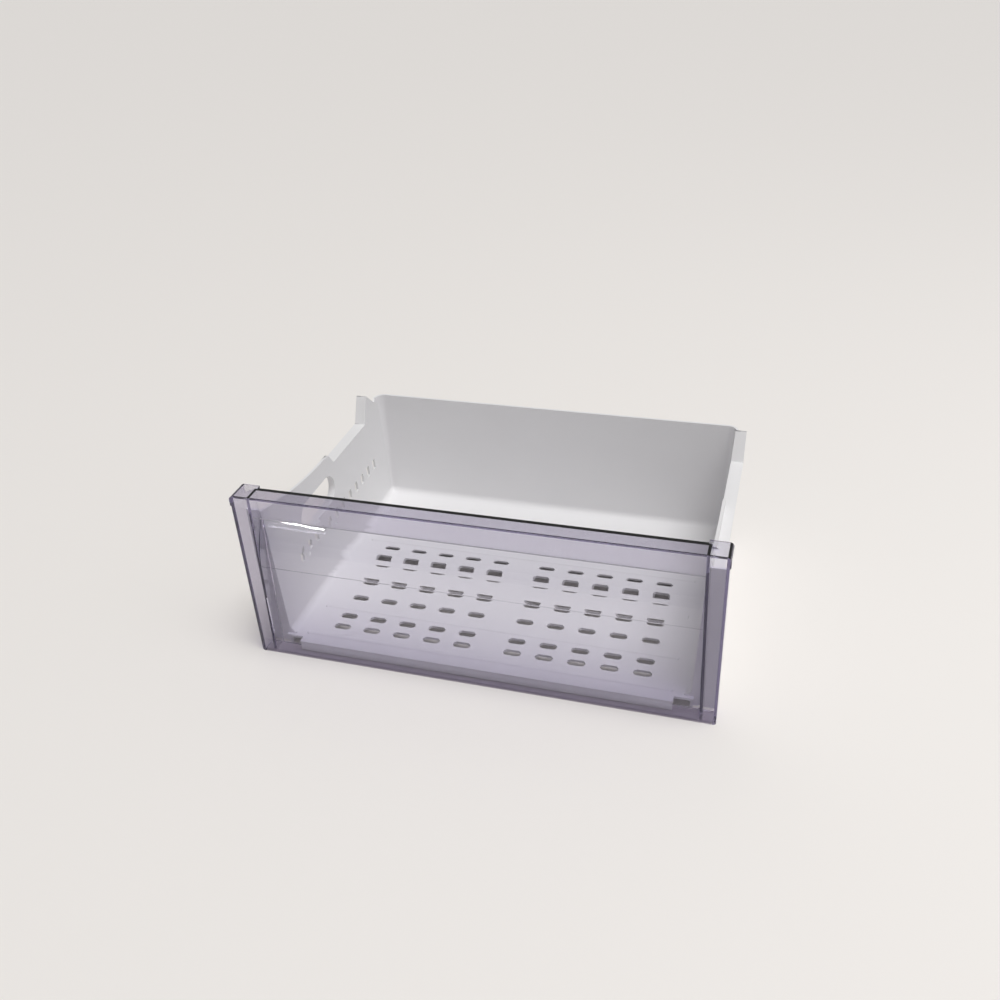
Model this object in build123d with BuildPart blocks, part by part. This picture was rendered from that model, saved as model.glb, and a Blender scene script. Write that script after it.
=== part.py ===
# Freezer drawer: a white moulded basket, open at the front, closed by a clear
# front panel that snaps over the basket's two upright front flanges.
# Millimetres. +Z up, the panel faces -Y, origin under the middle of the drawer.

import os
from math import cos, radians, sin, tan

from build123d import *

os.makedirs("parts", exist_ok=True)

# Whole drawer
overall_depth = 288.0
front = -overall_depth / 2
fit_gap = 0.2

# Clear front panel
panel_width = 427.0
panel_height = 173.0
panel_depth = 21.5
panel_wall = 2.5
cap_height = 10.0
cap_step = 1.0
corner_radius = 4.0
sill_depth = 15.0
rib_depth = 17.5
rib_top_inset = 16.5
rib_foot_inset = 12.5

# Finger recess in the panel
knee_height = 100.0
knee_radius = 70.0
ramp_angle = 27.0
bend_radius = 15.0
lip_height = 21.0
lip_radius = 1.1

# Snap noses inside the panel's ends
nose_heights = (38.0, 128.0)
nose_length = 14.0
nose_reach = 1.2

# White basket
wall = 2.5
floor_top = 12.8
floor_half_width = 189.0
draft = 2.6
back_height = 133.0
rear_corner_radius = 2.5
floor_fillet = 7.0

# Front edge of the basket
tongue_front = 7.6
tongue_half_width = 175.0
tongue_notch = 7.0
flange_thickness = 2.3
flange_foot = 3.0
flange_top = 150.0

# Top edge of the side walls: arch and step as distances behind the panel's face
arch_middle_back = 76.0
arch_middle_height = 136.8
step_top_back = 146.0
step_top_height = 131.5
step_foot_back = 159.6
step_run = 4.0
crest_radius = 6.0
rail_height = 118.6

# Rear end of the side walls, as distances in front of the drawer's back
fin_foot_inset = 47.0
fin_tip_inset = 34.0
fin_tip_height = 146.5
notch_inset = 17.0
notch_height = 130.3
notch_width = 6.0
fin_radius = 1.5

# Runner ledges and stops outside the side walls
ledge_half_width = 205.5
ledge_thickness = 2.5
trim = 1.0

# Hand holes
hole_length = 72.0
hole_height = 29.0
hole_back = 116.0
hole_centre_height = 98.0
collar_width = 2.5
collar_reach = 5.5

# Vent slots in the side walls
vent_count = 12
vent_pitch = 16.2
vent_first_back = 67.0
vent_width = 6.5
vent_height = 11.0
vent_centre_height = 67.0

# Floor slots and cross ridges
slot_length = 16.5
slot_width = 7.6
slot_chamfer = 2.4
slot_pitch = 30.0
slots_per_side = 5
slot_middle_gap = 48.5
slot_rows = (37.0, 53.4, 82.2, 108.0, 141.0, 167.3)
ridge_rows = (21.5, 63.5, 123.0, 181.0)
ridge_length = 348.0
ridge_width = 6.0
ridge_height = 1.3
ridge_taper = 45.0

# Worked out from the sizes above
lean = tan(radians(draft))
turn = radians(ramp_angle)
panel_half = panel_width / 2
body_half = panel_half - cap_step
cap_foot = panel_height - cap_height
lip_foot = panel_height - lip_height
recess_depth = rib_depth - panel_wall
arc_advance = (knee_radius + bend_radius) * (1 - cos(turn))
ramp_length = (recess_depth - arc_advance) / sin(turn)
rib_top_x = panel_half - rib_top_inset
rib_foot_x = panel_half - rib_foot_inset
floor_under = floor_top - wall
flange_front = rib_depth + fit_gap
flange_back = flange_front + flange_thickness
flange_half = body_half - panel_wall - fit_gap
nose_front = flange_back + fit_gap
floor_back = overall_depth - wall - (back_height - floor_top) * lean
foot_back = floor_back - floor_top * lean
fin_foot_back = overall_depth - fin_foot_inset
fin_tip_back = overall_depth - fin_tip_inset
notch_back = overall_depth - notch_inset
ledge_root = floor_half_width + (fin_tip_height - floor_top) * lean + wall / 4


def wall_inside(height):
    """Half width between the side walls at a height."""
    return floor_half_width + (height - floor_top) * lean


# Front panel: one clear moulding. The skin between the ribs is flat below the
# knee, leans back as a ramp and ends in the upright back of the finger recess.
with BuildPart() as front_panel:
    with BuildSketch(Plane.YZ):
        with BuildLine():
            plate = Line((front, 0), (front, knee_height))
            knee = JernArc(plate @ 1, (0, 1), knee_radius, -ramp_angle)
            ramp = PolarLine(knee @ 1, ramp_length, direction=knee % 1)
            bend = JernArc(ramp @ 1, ramp % 1, bend_radius, ramp_angle)
            Line(bend @ 1, (front + recess_depth, panel_height))
            offset(amount=panel_wall, side=Side.RIGHT)
        make_face()
    extrude(amount=rib_top_x, both=True)
    # Grip: a flat top with a lip that hangs down at its front
    with BuildSketch(Plane.YZ):
        with BuildLine():
            Polyline(
                (front, lip_foot),
                (front, panel_height),
                (front + rib_depth, panel_height),
                (front + rib_depth, panel_height - panel_wall),
                (front + panel_wall, panel_height - panel_wall),
                (front + panel_wall, lip_foot),
                close=True,
            )
        make_face()
    extrude(amount=rib_top_x, both=True)
    # Sill along the foot
    with BuildSketch(Plane.XY):
        with Locations((0, front)):
            Rectangle(2 * body_half, sill_depth, align=(Align.CENTER, Align.MIN))
    extrude(amount=panel_wall)
    for side in (-1, 1):
        # End box: face, slanted inner rib, outer wall and the cap that closes its top
        with BuildSketch(Plane.XZ.offset(-front)):
            with BuildLine():
                Polyline(
                    (side * (rib_foot_x - panel_wall), 0),
                    (side * (rib_top_x - panel_wall), panel_height),
                    (side * rib_top_x, panel_height),
                    (side * rib_foot_x, 0),
                    close=True,
                )
            make_face()
        extrude(amount=-rib_depth)
        with BuildSketch(Plane.XZ.offset(-front)):
            with BuildLine():
                Polyline(
                    (side * (rib_foot_x - panel_wall), 0),
                    (side * (rib_top_x - panel_wall), panel_height),
                    (side * panel_half, panel_height),
                    (side * panel_half, cap_foot),
                    (side * body_half, cap_foot),
                    (side * body_half, 0),
                    close=True,
                )
            make_face()
        extrude(amount=-panel_wall)
        with BuildSketch(Plane.XZ.offset(-front)):
            with BuildLine():
                Polyline(
                    (side * (body_half - panel_wall), 0),
                    (side * (body_half - panel_wall), panel_height - panel_wall),
                    (side * (rib_top_x - panel_wall), panel_height - panel_wall),
                    (side * (rib_top_x - panel_wall), panel_height),
                    (side * panel_half, panel_height),
                    (side * panel_half, cap_foot),
                    (side * body_half, cap_foot),
                    (side * body_half, 0),
                    close=True,
                )
            make_face()
        extrude(amount=-panel_depth)
        # Snap noses that keep the basket's flange in the end box
        for height in nose_heights:
            with BuildSketch(Plane.XY.offset(height - nose_length / 2)):
                with BuildLine():
                    Polyline(
                        (side * (body_half - panel_wall), front + nose_front),
                        (side * (body_half - panel_wall - nose_reach), front + nose_front),
                        (side * (body_half - panel_wall), front + panel_depth),
                        close=True,
                    )
                make_face()
            extrude(amount=nose_length)
    # Round outline, then a softened rim and lip
    with BuildSketch(Plane.XZ.offset(-front)):
        with Locations((0, panel_height / 2)):
            RectangleRounded(panel_width, panel_height, corner_radius)
    extrude(amount=-panel_depth, mode=Mode.INTERSECT)
    lip_edges = front_panel.edges().filter_by(Axis.X).filter_by(
        lambda edge: abs(edge.center().Z - lip_foot) < fit_gap
    )
    fillet(lip_edges, lip_radius)
front_panel.part.label = "front_panel"

# Basket: one white moulding with drafted walls, open at the front.
with BuildPart() as basket:
    with BuildSketch(Plane.XY):
        with Locations((0, front + foot_back + wall)):
            Rectangle(
                2 * (wall_inside(0) + wall), overall_depth + 2 * wall, align=(Align.CENTER, Align.MAX)
            )
        fillet(vertices().group_by(Axis.Y)[-1], rear_corner_radius + wall)
    extrude(amount=fin_tip_height + wall, taper=-draft)
    with BuildSketch(Plane.XY.offset(floor_top)):
        with Locations((0, front + floor_back)):
            Rectangle(
                2 * floor_half_width, overall_depth + 4 * wall, align=(Align.CENTER, Align.MAX)
            )
        fillet(vertices().group_by(Axis.Y)[-1], rear_corner_radius)
    extrude(amount=fin_tip_height + 2 * wall - floor_top, taper=-draft, mode=Mode.SUBTRACT)
    corner_edges = basket.edges().filter_by(
        lambda edge: abs(edge.center().Z - floor_top) < fit_gap and edge.center().Y > front
    )
    fillet(corner_edges, floor_fillet)
    # Underside: the walls run on below the floor as a skirt that the drawer stands on
    with BuildSketch(Plane.XY):
        with Locations((0, front + foot_back)):
            Rectangle(2 * wall_inside(0), overall_depth, align=(Align.CENTER, Align.MAX))
        fillet(vertices().group_by(Axis.Y)[-1], rear_corner_radius)
        with Locations((0, front + flange_front)):
            Rectangle(panel_width, 2 * panel_depth, align=(Align.CENTER, Align.MAX))
    extrude(amount=floor_under, mode=Mode.SUBTRACT)
    # Front: the walls stop at the flanges and the floor runs on as a notched tongue
    with BuildSketch(Plane.XY):
        with Locations((0, front + tongue_front)):
            Rectangle(panel_width, 2 * panel_depth, align=(Align.CENTER, Align.MAX))
        for side in (-1, 1):
            with Locations((side * tongue_half_width, front + tongue_front + tongue_notch)):
                Rectangle(
                    panel_width, 2 * panel_depth, align=(Align.MIN if side > 0 else Align.MAX, Align.MAX)
                )
    extrude(amount=panel_height, mode=Mode.SUBTRACT)
    with BuildSketch(Plane.XY.offset(floor_top)):
        with Locations((0, front + flange_front)):
            Rectangle(panel_width, panel_depth, align=(Align.CENTER, Align.MAX))
    extrude(amount=panel_height, mode=Mode.SUBTRACT)
    # Runner ledges, each ending in a leaning stop that the next cut trims
    for side in (-1, 1):
        with BuildSketch(Plane.YZ.offset(side * ledge_root)):
            with BuildLine():
                Polyline(
                    (front + flange_front, rail_height - ledge_thickness),
                    (front + flange_front, rail_height),
                    (front + fin_foot_back - trim, rail_height),
                    (front + fin_tip_back - trim, fin_tip_height + trim),
                    (front + fin_tip_back + wall, fin_tip_height + trim),
                    (front + fin_foot_back + wall, rail_height - ledge_thickness),
                    close=True,
                )
            make_face()
        extrude(amount=side * (ledge_half_width - ledge_root))
    # Top edge: arch, step, runner level, fin and back wall, cut straight across
    with BuildSketch(Plane.YZ):
        with BuildLine():
            arch = ThreePointArc(
                (front + flange_front, flange_top),
                (front + arch_middle_back, arch_middle_height),
                (front + step_top_back, step_top_height),
            )
            edge = FilletPolyline(
                arch @ 1,
                (front + step_top_back + step_run, step_top_height),
                (front + step_foot_back, rail_height),
                (front + fin_foot_back, rail_height),
                (front + fin_tip_back, fin_tip_height),
                (front + notch_back, notch_height),
                (front + notch_back + notch_width, back_height),
                (front + overall_depth + wall, back_height),
                radius=[crest_radius] + 5 * [fin_radius],
            )
            Polyline(
                edge @ 1,
                (front + overall_depth + wall, 2 * panel_height),
                (front, 2 * panel_height),
                (front, flange_top),
                arch @ 0,
            )
        make_face()
    extrude(amount=panel_width, both=True, mode=Mode.SUBTRACT)
    for side in (-1, 1):
        # Upright front flange that the panel's end box closes over
        with BuildSketch(Plane.XZ.offset(-front - flange_front)):
            with BuildLine():
                Polyline(
                    (side * (wall_inside(flange_foot) + wall / 2), flange_foot),
                    (side * (wall_inside(flange_top) + wall / 2), flange_top),
                    (side * flange_half, flange_top),
                    (side * flange_half, flange_foot),
                    close=True,
                )
            make_face()
        extrude(amount=-flange_thickness)
        # Collar round the hand hole
        with BuildSketch(Plane.YZ.offset(side * (wall_inside(hole_centre_height) + wall / 2))):
            with Locations((front + hole_back, hole_centre_height)):
                SlotOverall(hole_length + 2 * collar_width, hole_height + 2 * collar_width)
        extrude(amount=side * collar_reach)
    # Hand holes and vent slots, cut through both side walls at once
    with BuildSketch(Plane.YZ):
        with Locations((front + hole_back, hole_centre_height)):
            SlotOverall(hole_length, hole_height)
        with Locations((front + vent_first_back, vent_centre_height)):
            with GridLocations(vent_pitch, 1, vent_count, 1, align=(Align.MIN, Align.CENTER)):
                Rectangle(vent_width, vent_height)
    extrude(amount=panel_width, both=True, mode=Mode.SUBTRACT)
    # Floor slots in rows, with low ridges between the groups
    with BuildSketch(Plane.XY.offset(floor_under)):
        for row in slot_rows:
            for side in (-1, 1):
                with Locations((side * slot_middle_gap / 2, front + row)):
                    with GridLocations(
                        side * slot_pitch, 1, slots_per_side, 1, align=(Align.MIN, Align.CENTER)
                    ):
                        Rectangle(slot_length, slot_width)
        chamfer(vertices(), slot_chamfer)
    extrude(amount=wall, mode=Mode.SUBTRACT)
    with BuildSketch(Plane.XY.offset(floor_top)):
        with Locations(*[(0, front + row) for row in ridge_rows]):
            SlotOverall(ridge_length, ridge_width)
    extrude(amount=ridge_height, taper=ridge_taper)
basket.part.label = "basket"

export_step(front_panel.part, "parts/front_panel.step")
export_step(basket.part, "parts/basket.step")
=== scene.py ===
from math import radians, sin, sqrt, tan

import bmesh
import bpy
from mathutils import Matrix, Quaternion, Vector


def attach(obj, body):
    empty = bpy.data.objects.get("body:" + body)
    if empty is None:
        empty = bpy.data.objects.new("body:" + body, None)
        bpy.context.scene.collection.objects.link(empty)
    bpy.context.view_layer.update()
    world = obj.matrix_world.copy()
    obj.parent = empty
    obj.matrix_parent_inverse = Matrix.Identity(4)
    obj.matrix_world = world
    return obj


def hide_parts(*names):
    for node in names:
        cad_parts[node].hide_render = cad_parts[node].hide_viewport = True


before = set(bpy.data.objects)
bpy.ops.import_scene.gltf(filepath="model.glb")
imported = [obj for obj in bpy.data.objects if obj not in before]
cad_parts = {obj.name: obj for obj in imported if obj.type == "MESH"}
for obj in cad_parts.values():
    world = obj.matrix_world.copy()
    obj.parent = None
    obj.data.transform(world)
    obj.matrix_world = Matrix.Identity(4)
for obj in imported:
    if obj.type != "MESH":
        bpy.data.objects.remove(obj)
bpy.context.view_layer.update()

# Basket: one white impact-polystyrene moulding, open at the front. Its walls and slotted
# floor leave the tool with a fine matt grain, and the floor slots have rounded corners.
WELD_DISTANCE = 2e-6
FLAT_ANGLE = radians(0.6)
SPECK_SIZE = 1e-7
CREASE_ANGLE = radians(38)
FLOOR_TOP = 0.0128
FLOOR_UNDER = 0.0103
SLOT_CORNER = 0.0006
SLOT_CORNER_TURN = radians(40)
SLOT_CORNER_STEPS = 3
BASKET_WHITE = (0.800, 0.794, 0.800)
BASKET_SHADE = (0.765, 0.759, 0.766)
BASKET_IOR = 1.55
BASKET_MATT = 0.52
BASKET_RUBBED = 0.36
CLOUD_SCALE = 14.0
CLOUD_DETAIL = 4.0
GRAIN_SCALE = 2200.0
GRAIN_DETAIL = 3.0
GRAIN_STRENGTH = 0.12
GRAIN_DEPTH = 0.0003
RUB_TURN = (0.0, radians(12), radians(20))
RUB_STRETCH = (6.0, 70.0, 70.0)
RUB_SCALE = 4.0
RUB_DETAIL = 6.0
RUB_START = 0.56
RUB_FULL = 0.74


def merged_copy(node_name):
    """A CAD node's mesh with its loose triangles joined and its flat faces made whole."""
    shape = bmesh.new()
    shape.from_mesh(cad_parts[node_name].data)
    bmesh.ops.remove_doubles(shape, verts=shape.verts, dist=WELD_DISTANCE)
    bmesh.ops.dissolve_limit(
        shape, angle_limit=FLAT_ANGLE, verts=shape.verts, edges=shape.edges
    )
    return shape


def sharp_edges(shape, angle):
    """Edges of a closed bmesh whose faces turn by more than an angle."""
    return [e for e in shape.edges if len(e.link_faces) == 2 and e.calc_face_angle() > angle]


def round_edges(shape, edges, size, segments):
    """Round the given edges of a bmesh, as a moulding tool leaves them."""
    bmesh.ops.bevel(
        shape, geom=edges, offset=size, offset_type="OFFSET", affect="EDGES",
        segments=segments, profile=0.5, clamp_overlap=True, material=-1,
    )


def finished_piece(shape, piece_name, node_name):
    """Turn a bmesh into a shaded piece that stands for a CAD node."""
    bmesh.ops.dissolve_degenerate(shape, edges=shape.edges, dist=SPECK_SIZE)
    mesh = bpy.data.meshes.new(piece_name)
    shape.to_mesh(mesh)
    shape.free()
    mesh.shade_smooth()
    mesh.set_sharp_from_angle(angle=CREASE_ANGLE)
    piece = bpy.data.objects.new(piece_name, mesh)
    bpy.context.collection.objects.link(piece)
    level = piece.modifiers.new("flat_faces_stay_flat", "WEIGHTED_NORMAL")
    level.mode = "FACE_AREA"
    level.weight = 100
    level.keep_sharp = True
    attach(piece, "root")
    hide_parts(node_name)
    return piece


def new_material(name):
    """An empty node material with its output, ready for a shader."""
    material = bpy.data.materials.new(name)
    material.use_nodes = True
    nodes = material.node_tree.nodes
    nodes.clear()
    return material, nodes, material.node_tree.links, nodes.new("ShaderNodeOutputMaterial")


def moulded_surface_group():
    """Node group: cloudy tone, fine grain and rubbed marks of a moulded surface."""
    group = bpy.data.node_groups.new("moulded_surface", "ShaderNodeTree")
    face = group.interface
    face.new_socket("Grain Scale", in_out="INPUT", socket_type="NodeSocketFloat")
    face.new_socket("Tone", in_out="OUTPUT", socket_type="NodeSocketFloat")
    face.new_socket("Rub", in_out="OUTPUT", socket_type="NodeSocketFloat")
    face.new_socket("Height", in_out="OUTPUT", socket_type="NodeSocketFloat")
    nodes, links = group.nodes, group.links
    given = nodes.new("NodeGroupInput")
    result = nodes.new("NodeGroupOutput")
    place = nodes.new("ShaderNodeTexCoord")
    cloud = nodes.new("ShaderNodeTexNoise")
    cloud.inputs["Scale"].default_value = CLOUD_SCALE
    cloud.inputs["Detail"].default_value = CLOUD_DETAIL
    links.new(place.outputs["Object"], cloud.inputs["Vector"])
    links.new(cloud.outputs["Fac"], result.inputs["Tone"])
    grain = nodes.new("ShaderNodeTexNoise")
    grain.inputs["Detail"].default_value = GRAIN_DETAIL
    links.new(place.outputs["Object"], grain.inputs["Vector"])
    links.new(given.outputs["Grain Scale"], grain.inputs["Scale"])
    links.new(grain.outputs["Fac"], result.inputs["Height"])
    stretch = nodes.new("ShaderNodeMapping")
    stretch.inputs["Rotation"].default_value = RUB_TURN
    stretch.inputs["Scale"].default_value = RUB_STRETCH
    links.new(place.outputs["Object"], stretch.inputs["Vector"])
    marks = nodes.new("ShaderNodeTexNoise")
    marks.inputs["Scale"].default_value = RUB_SCALE
    marks.inputs["Detail"].default_value = RUB_DETAIL
    links.new(stretch.outputs["Vector"], marks.inputs["Vector"])
    rub = nodes.new("ShaderNodeMapRange")
    rub.inputs["From Min"].default_value = RUB_START
    rub.inputs["From Max"].default_value = RUB_FULL
    links.new(marks.outputs["Fac"], rub.inputs["Value"])
    links.new(rub.outputs["Result"], result.inputs["Rub"])
    return group


basket_shape = merged_copy("basket")
slot_corners = [
    e for e in sharp_edges(basket_shape, SLOT_CORNER_TURN)
    if {round(v.co.z, 5) for v in e.verts} == {FLOOR_UNDER, FLOOR_TOP}
]
round_edges(basket_shape, slot_corners, SLOT_CORNER, SLOT_CORNER_STEPS)
basket = finished_piece(basket_shape, "white_basket", "basket")

moulded_surface = moulded_surface_group()
basket_finish, nodes, links, output = new_material("white_moulding_finish")
surface = nodes.new("ShaderNodeBsdfPrincipled")
surface.inputs["IOR"].default_value = BASKET_IOR
marks = nodes.new("ShaderNodeGroup")
marks.node_tree = moulded_surface
marks.inputs["Grain Scale"].default_value = GRAIN_SCALE
tone = nodes.new("ShaderNodeMix")
tone.data_type = "RGBA"
tone.inputs["A"].default_value = (*BASKET_SHADE, 1.0)
tone.inputs["B"].default_value = (*BASKET_WHITE, 1.0)
links.new(marks.outputs["Tone"], tone.inputs["Factor"])
links.new(tone.outputs["Result"], surface.inputs["Base Color"])
matt = nodes.new("ShaderNodeMapRange")
matt.inputs["To Min"].default_value = BASKET_MATT
matt.inputs["To Max"].default_value = BASKET_RUBBED
links.new(marks.outputs["Rub"], matt.inputs["Value"])
links.new(matt.outputs["Result"], surface.inputs["Roughness"])
bump = nodes.new("ShaderNodeBump")
bump.inputs["Strength"].default_value = GRAIN_STRENGTH
bump.inputs["Distance"].default_value = GRAIN_DEPTH
links.new(marks.outputs["Height"], bump.inputs["Height"])
links.new(bump.outputs["Normal"], surface.inputs["Normal"])
links.new(surface.outputs["BSDF"], output.inputs["Surface"])
basket.data.materials.clear()
basket.data.materials.append(basket_finish)

# Front skirt: a low white strip under the basket's front edge, moulded in one with the
# basket. It ends just above the panel's sill and closes the space below the floor.
SKIRT_HALF_WIDTH = 0.1745
SKIRT_CUTS = 12
SKIRT_FRONT = -0.1364
SKIRT_THICKNESS = 0.0020
SKIRT_FOOT = 0.0027
SKIRT_TOP = 0.0103
SKIRT_EDGE = 0.0004
SKIRT_EDGE_TURN = radians(32)
SKIRT_EDGE_STEPS = 2
skirt_shape = bmesh.new()
bmesh.ops.create_grid(skirt_shape, x_segments=SKIRT_CUTS, y_segments=1, size=1.0)
skirt_size = (SKIRT_HALF_WIDTH, SKIRT_THICKNESS / 2, 1.0)
bmesh.ops.scale(skirt_shape, vec=skirt_size, verts=skirt_shape.verts)
skirt_place = (0.0, SKIRT_FRONT + SKIRT_THICKNESS / 2, SKIRT_FOOT)
bmesh.ops.translate(skirt_shape, vec=skirt_place, verts=skirt_shape.verts)
raised = bmesh.ops.extrude_face_region(skirt_shape, geom=skirt_shape.faces[:])
raised_verts = [part for part in raised["geom"] if isinstance(part, bmesh.types.BMVert)]
bmesh.ops.translate(skirt_shape, vec=(0.0, 0.0, SKIRT_TOP - SKIRT_FOOT), verts=raised_verts)
bmesh.ops.recalc_face_normals(skirt_shape, faces=skirt_shape.faces)
skirt_edges = sharp_edges(skirt_shape, SKIRT_EDGE_TURN)
round_edges(skirt_shape, skirt_edges, SKIRT_EDGE, SKIRT_EDGE_STEPS)
skirt_mesh = bpy.data.meshes.new("front_skirt")
skirt_shape.to_mesh(skirt_mesh)
skirt_shape.free()
skirt_mesh.shade_smooth()
skirt_mesh.set_sharp_from_angle(angle=CREASE_ANGLE)
skirt_mesh.materials.append(basket_finish)
skirt = bpy.data.objects.new("front_skirt", skirt_mesh)
bpy.context.collection.objects.link(skirt)
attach(skirt, "root")

# Front panel: one clear styrene moulding with a lilac tint, polished on both faces. The back
# of its skin has a fine raised line at the knee and swells to a crest above it. The panel
# snaps over the basket's front flanges at both ends.
PANEL_CLEAR = (0.985, 0.980, 0.990)
PANEL_TINT = (0.50, 0.46, 0.62)
PANEL_DENSITY = 155.0
PANEL_SHADOW = (0.895, 0.885, 0.91)
PANEL_IOR = 1.57
PANEL_POLISH = 0.002
PANEL_RUBBED = 0.02
PANEL_FACE = -0.144
KNEE_HEIGHT = 0.100
KNEE_RADIUS = 0.070
RAMP_ANGLE = radians(27)
SKIN_HALF_WIDTH = 0.2005
SKIN_BACK_NEAR = 0.0015
SKIN_BACK_FAR = 0.0042
SKIN_BACK_TURN = 0.5
FOLD_FOOT = 0.100
FOLD_CREST = 0.121
FOLD_TOP = 0.139
FOLD_RISE = 0.0005
FOLD_CUTS = 6
LINE_HEIGHTS = (0.0990, 0.0994, 0.0998)
LINE_RISE = 0.0001
CUT_MARGIN = 1e-6
SAME_HEIGHT = 1e-5


def skin_face(height):
    """Depth of the front of the panel's skin at a height: plate, knee, then ramp."""
    rise = max(0.0, height - KNEE_HEIGHT)
    arc = min(rise, KNEE_RADIUS * sin(RAMP_ANGLE))
    return (PANEL_FACE + KNEE_RADIUS - sqrt(KNEE_RADIUS ** 2 - arc ** 2)
            + (rise - arc) * tan(RAMP_ANGLE))


def on_skin_back(place):
    """True on the back of the skin, between the ribs."""
    behind = place.y - skin_face(place.z)
    return abs(place.x) < SKIN_HALF_WIDTH and SKIN_BACK_NEAR < behind < SKIN_BACK_FAR


def fold_rise(height):
    """How far the back of the skin stands out at a height, in the swell or at the fine line."""
    if FOLD_FOOT < height < FOLD_TOP:
        foot = FOLD_FOOT if height < FOLD_CREST else FOLD_TOP
        return FOLD_RISE * ((height - foot) / (FOLD_CREST - foot)) ** 2
    return LINE_RISE if abs(height - LINE_HEIGHTS[1]) < SAME_HEIGHT else 0.0


def swell_skin(shape):
    """Cut level lines across the back of the skin and swell it between them."""
    steps = [i / FOLD_CUTS for i in range(FOLD_CUTS + 1)]
    below = [FOLD_FOOT + (FOLD_CREST - FOLD_FOOT) * t for t in steps]
    above = [FOLD_CREST + (FOLD_TOP - FOLD_CREST) * t for t in steps[1:]]
    for height in (*LINE_HEIGHTS, *below, *above):
        faces = [
            f for f in shape.faces
            if f.normal.y > SKIN_BACK_TURN and on_skin_back(f.calc_center_median())
        ]
        around = {part for f in faces for part in (*f.verts, *f.edges)}
        bmesh.ops.bisect_plane(
            shape, geom=[*faces, *around], dist=CUT_MARGIN,
            plane_co=(0.0, 0.0, height), plane_no=(0.0, 0.0, 1.0),
        )
    for vert in shape.verts:
        if on_skin_back(vert.co):
            vert.co.y += fold_rise(vert.co.z)


panel_shape = merged_copy("front_panel")
swell_skin(panel_shape)
panel = finished_piece(panel_shape, "clear_front_panel", "front_panel")
crisp_heights = (*LINE_HEIGHTS, FOLD_CREST)
for edge in panel.data.edges:
    heights = [panel.data.vertices[i].co.z for i in edge.vertices]
    if any(max(abs(h - line) for h in heights) < SAME_HEIGHT for line in crisp_heights):
        edge.use_edge_sharp = True

panel_finish, nodes, links, output = new_material("clear_moulding_finish")
surface = nodes.new("ShaderNodeBsdfPrincipled")
surface.inputs["Base Color"].default_value = (*PANEL_CLEAR, 1.0)
surface.inputs["Transmission Weight"].default_value = 1.0
surface.inputs["IOR"].default_value = PANEL_IOR
marks = nodes.new("ShaderNodeGroup")
marks.node_tree = moulded_surface
polish = nodes.new("ShaderNodeMapRange")
polish.inputs["To Min"].default_value = PANEL_POLISH
polish.inputs["To Max"].default_value = PANEL_RUBBED
links.new(marks.outputs["Rub"], polish.inputs["Value"])
links.new(polish.outputs["Result"], surface.inputs["Roughness"])
tint = nodes.new("ShaderNodeVolumeAbsorption")
tint.inputs["Color"].default_value = (*PANEL_TINT, 1.0)
tint.inputs["Density"].default_value = PANEL_DENSITY
links.new(tint.outputs["Volume"], output.inputs["Volume"])
shadow = nodes.new("ShaderNodeBsdfTransparent")
shadow.inputs["Color"].default_value = (*PANEL_SHADOW, 1.0)
path = nodes.new("ShaderNodeLightPath")
mix = nodes.new("ShaderNodeMixShader")
links.new(path.outputs["Is Shadow Ray"], mix.inputs["Fac"])
links.new(surface.outputs["BSDF"], mix.inputs[1])
links.new(shadow.outputs["BSDF"], mix.inputs[2])
links.new(mix.outputs["Shader"], output.inputs["Surface"])
panel.data.materials.clear()
panel.data.materials.append(panel_finish)

# Table: a plain pale board that the drawer stands on, wide enough to fill the view from
# any side. It is staging and not part of the object.
TABLE_HALF_WIDTH = 14.0
TABLE_TONE = (0.87, 0.84, 0.81)
TABLE_MATT = 0.6
table_shape = bmesh.new()
bmesh.ops.create_grid(table_shape, x_segments=1, y_segments=1, size=TABLE_HALF_WIDTH)
table_mesh = bpy.data.meshes.new("table")
table_shape.to_mesh(table_mesh)
table_shape.free()
table = bpy.data.objects.new("table", table_mesh)
bpy.context.collection.objects.link(table)
table_finish, nodes, links, output = new_material("table_finish")
surface = nodes.new("ShaderNodeBsdfPrincipled")
surface.inputs["Base Color"].default_value = (*TABLE_TONE, 1.0)
surface.inputs["Roughness"].default_value = TABLE_MATT
links.new(surface.outputs["BSDF"], output.inputs["Surface"])
table_mesh.materials.append(table_finish)

# Lights: a broad soft light from overhead and the front right, a softbox on the right, three
# thin strip lamps at the front left that draw the streaks on the panel's ramp, and a pale
# sky that is a little brighter above.
OVERHEAD_PLACE = (0.55, -0.32, 2.0)
OVERHEAD_STRENGTH = 1.78
OVERHEAD_SPREAD = radians(34)
SIDE_PLACE = (1.30, -0.10, 1.10)
SIDE_TARGET = (0.45, 0.0, 0.0)
SIDE_WIDTH = 1.2
SIDE_POWER = 3.6
STREAK_POINT = (-0.1627, -0.1347, 0.135)
STRIP_PLACE = (-0.9637, -1.6764)
STRIP_HEIGHTS = (0.6122, 0.6059, 0.5974)
STRIP_LENGTH = 0.16
STRIP_WIDTH = 0.003
STRIP_POWER = 0.12
STRIP_ROLL = radians(4.3)
SKY_COLOUR = (1.0, 0.99, 0.985)
SKY_WAY = (0.30, -0.05, 0.95)
SKY_LOW_END = -0.35
SKY_HIGH_END = 0.75
SKY_DIM = 0.27
SKY_BRIGHT = 0.36


def aim(stand, place, target, roll=0.0):
    """Put a lamp at a place, turned to a target and rolled about its beam."""
    facing = (Vector(target) - Vector(place)).to_track_quat("-Z", "Y")
    stand.location = place
    stand.rotation_euler = (facing @ Quaternion((0.0, 0.0, 1.0), roll)).to_euler()
    bpy.context.collection.objects.link(stand)


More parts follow.
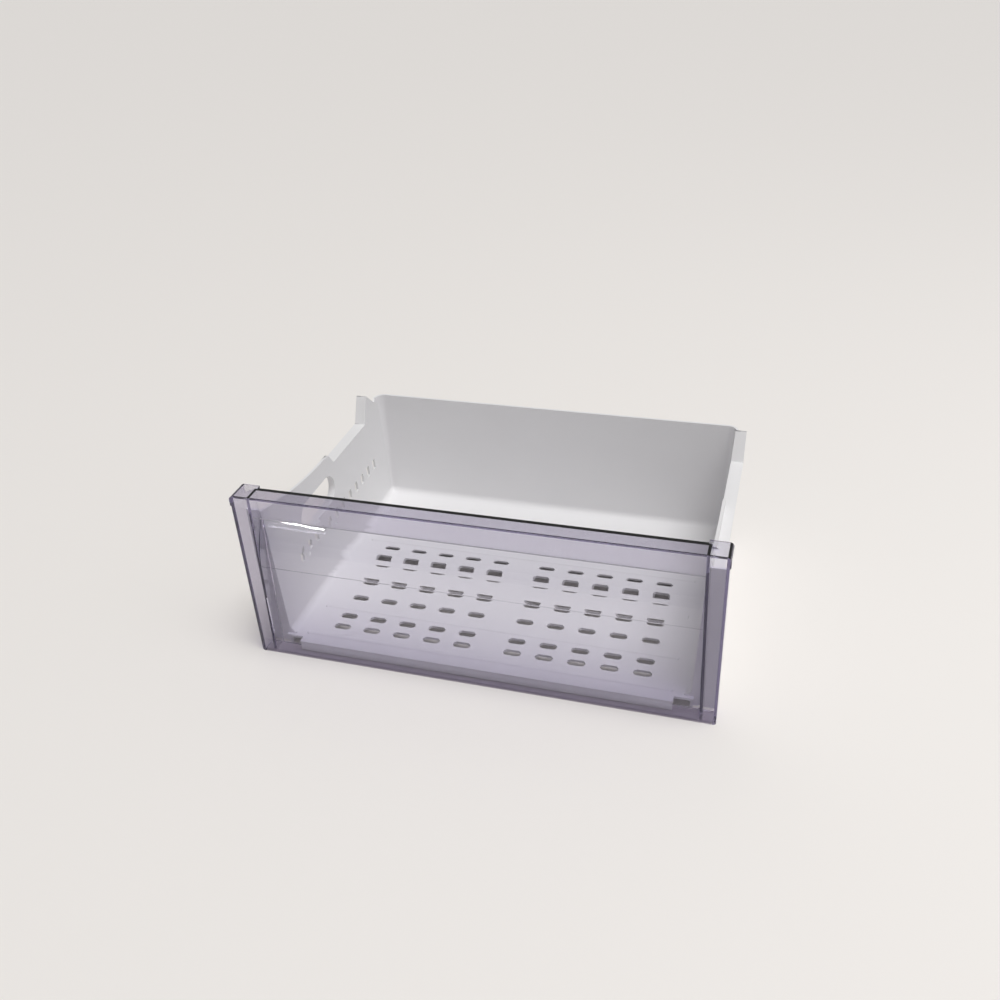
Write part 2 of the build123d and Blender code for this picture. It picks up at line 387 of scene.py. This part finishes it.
overhead_lamp = bpy.data.lights.new("soft_overhead", "SUN")
overhead_lamp.energy = OVERHEAD_STRENGTH
overhead_lamp.angle = OVERHEAD_SPREAD
overhead = bpy.data.objects.new("soft_overhead", overhead_lamp)
aim(overhead, OVERHEAD_PLACE, (0.0, 0.0, 0.0))

side_lamp = bpy.data.lights.new("right_softbox", "AREA")
side_lamp.shape = "RECTANGLE"
side_lamp.size = SIDE_WIDTH
side_lamp.size_y = SIDE_WIDTH
side_lamp.energy = SIDE_POWER
side = bpy.data.objects.new("right_softbox", side_lamp)
aim(side, SIDE_PLACE, SIDE_TARGET)

strip_lamp = bpy.data.lights.new("front_left_strip", "AREA")
strip_lamp.shape = "RECTANGLE"
strip_lamp.size = STRIP_LENGTH
strip_lamp.size_y = STRIP_WIDTH
strip_lamp.energy = STRIP_POWER
for height in STRIP_HEIGHTS:
    strip = bpy.data.objects.new("front_left_strip", strip_lamp)
    aim(strip, (*STRIP_PLACE, height), STREAK_POINT, STRIP_ROLL)

world = bpy.data.worlds.new("studio_air")
world.use_nodes = True
nodes, links = world.node_tree.nodes, world.node_tree.links
sky = nodes["Background"]
sky.inputs["Color"].default_value = (*SKY_COLOUR, 1.0)
way = nodes.new("ShaderNodeTexCoord")
along = nodes.new("ShaderNodeVectorMath")
along.operation = "DOT_PRODUCT"
along.inputs[1].default_value = SKY_WAY
links.new(way.outputs["Generated"], along.inputs[0])
spread = nodes.new("ShaderNodeMapRange")
spread.interpolation_type = "SMOOTHSTEP"
spread.inputs["From Min"].default_value = SKY_LOW_END
spread.inputs["From Max"].default_value = SKY_HIGH_END
spread.inputs["To Min"].default_value = SKY_DIM
spread.inputs["To Max"].default_value = SKY_BRIGHT
links.new(along.outputs["Value"], spread.inputs["Value"])
links.new(spread.outputs["Result"], sky.inputs["Strength"])
bpy.context.scene.world = world
bpy.context.scene.view_settings.view_transform = "Standard"

# Camera: at the photograph's viewing angle. Its place and turn come from a fit to the
# panel's four corners and the floor slots.
CAMERA_PLACE = (0.23996, -0.78155, 0.62294)
CAMERA_RIGHT = (0.95870, 0.28040, -0.04740)
CAMERA_UP = (-0.11110, 0.52284, 0.84516)
CAMERA_BACK = (0.26178, -0.80499, 0.53240)
SENSOR_WIDTH = 36.0
LENS_LENGTH = 36.36
lens = bpy.data.cameras.new("photo_view")
lens.sensor_width = SENSOR_WIDTH
lens.lens = LENS_LENGTH
camera = bpy.data.objects.new("photo_view", lens)
turn = Matrix((CAMERA_RIGHT, CAMERA_UP, CAMERA_BACK)).transposed()
camera.matrix_world = Matrix.Translation(CAMERA_PLACE) @ turn.to_4x4()
bpy.context.collection.objects.link(camera)
bpy.context.scene.camera = camera
